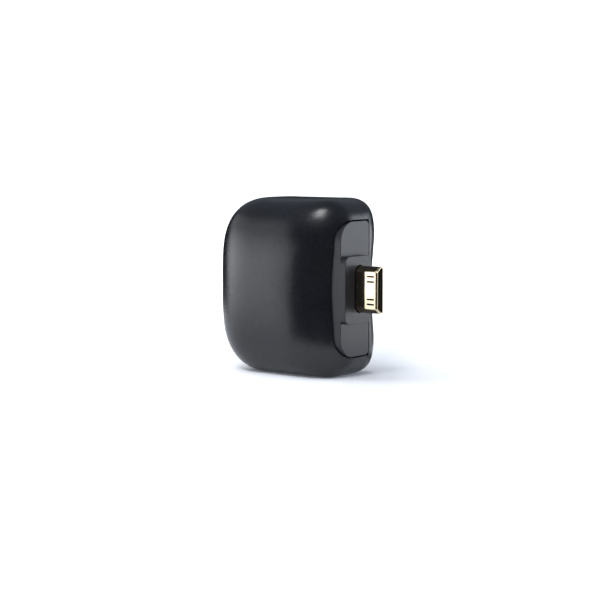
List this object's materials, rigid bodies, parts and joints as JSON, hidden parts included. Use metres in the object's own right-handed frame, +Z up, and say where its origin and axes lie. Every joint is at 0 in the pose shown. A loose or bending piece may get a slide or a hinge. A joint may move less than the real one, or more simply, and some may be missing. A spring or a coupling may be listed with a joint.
{
  "type": "plug-in wireless module",
  "caption": "Small pillow-shaped wireless module with a gold-plated side plug on a proud collar, stacked circuit boards inside and a pairing button in the rear cover.",
  "frame": {"origin": "centre of the flat facet the housing stands on", "axes": "+Z up, +X toward the plug, -Y toward the softly rounded front face, +Y toward the rear cover"},
  "size_m": [0.0415, 0.0219, 0.0403],
  "materials": {
    "front_shell": "satin moulded black plastic",
    "rear_cover": "satin moulded black plastic",
    "connector_plate": "fine matte dark grey plastic",
    "plug_collar": "fine matte dark grey plastic",
    "gold_plate": "bright gold plating",
    "steel": "plain sheet steel",
    "screws": "plated steel",
    "insulator": "black moulded insulator",
    "contacts": "gold plated contacts",
    "circuit_board": "green solder mask on glass laminate",
    "shield_can": "tinned sheet steel",
    "chips": "moulded chip package",
    "antenna": "fired ceramic block",
    "inductor": "pressed ferrite",
    "capacitors": "fired ceramic chips",
    "resistors": "coated ceramic chips",
    "header_plastic": "moulded header body",
    "switch": "moulded switch housing",
    "plunger": "moulded plunger",
    "button": "satin moulded black plastic",
    "led": "clear potted light source",
    "light_pipe": "clear moulded plastic"
  },
  "bodies": {
    "housing": {"board_screws": "screws", "bracket_screws": "screws", "capacitors": "capacitors", "chip_antenna": "antenna", "connector_plate": "connector_plate", "crystal": "shield_can", "front_shell": "front_shell", "header_base": "header_plastic", "header_pins": "contacts", "header_socket": "header_plastic", "interface_board": "circuit_board", "interface_screws": "screws", "light_pipe": "light_pipe", "main_board": "circuit_board", "memory_chip": "chips", "plug_bracket": "steel", "plug_collar": "plug_collar", "plug_contacts": "contacts", "plug_insulator": "insulator", "plug_shell": "gold_plate", "power_inductor": "inductor", "processor_chip": "chips", "radio_board": "circuit_board", "radio_chip": "chips", "rear_cover": "rear_cover", "resistors": "resistors", "shield_can": "shield_can", "status_led": "led", "switch_body": "switch", "switch_dome": "steel", "voltage_regulator": "chips"},
    "pairing_button": {"pairing_button": "button", "switch_plunger": "plunger"}
  },
  "joints": [
    {"name": "pairing_button_press", "type": "slide", "parent": "housing", "child": "pairing_button", "axis": [0, -1, 0], "range_m": [0, 0.00025], "stiffness_N_per_m": 4000}
  ]
}
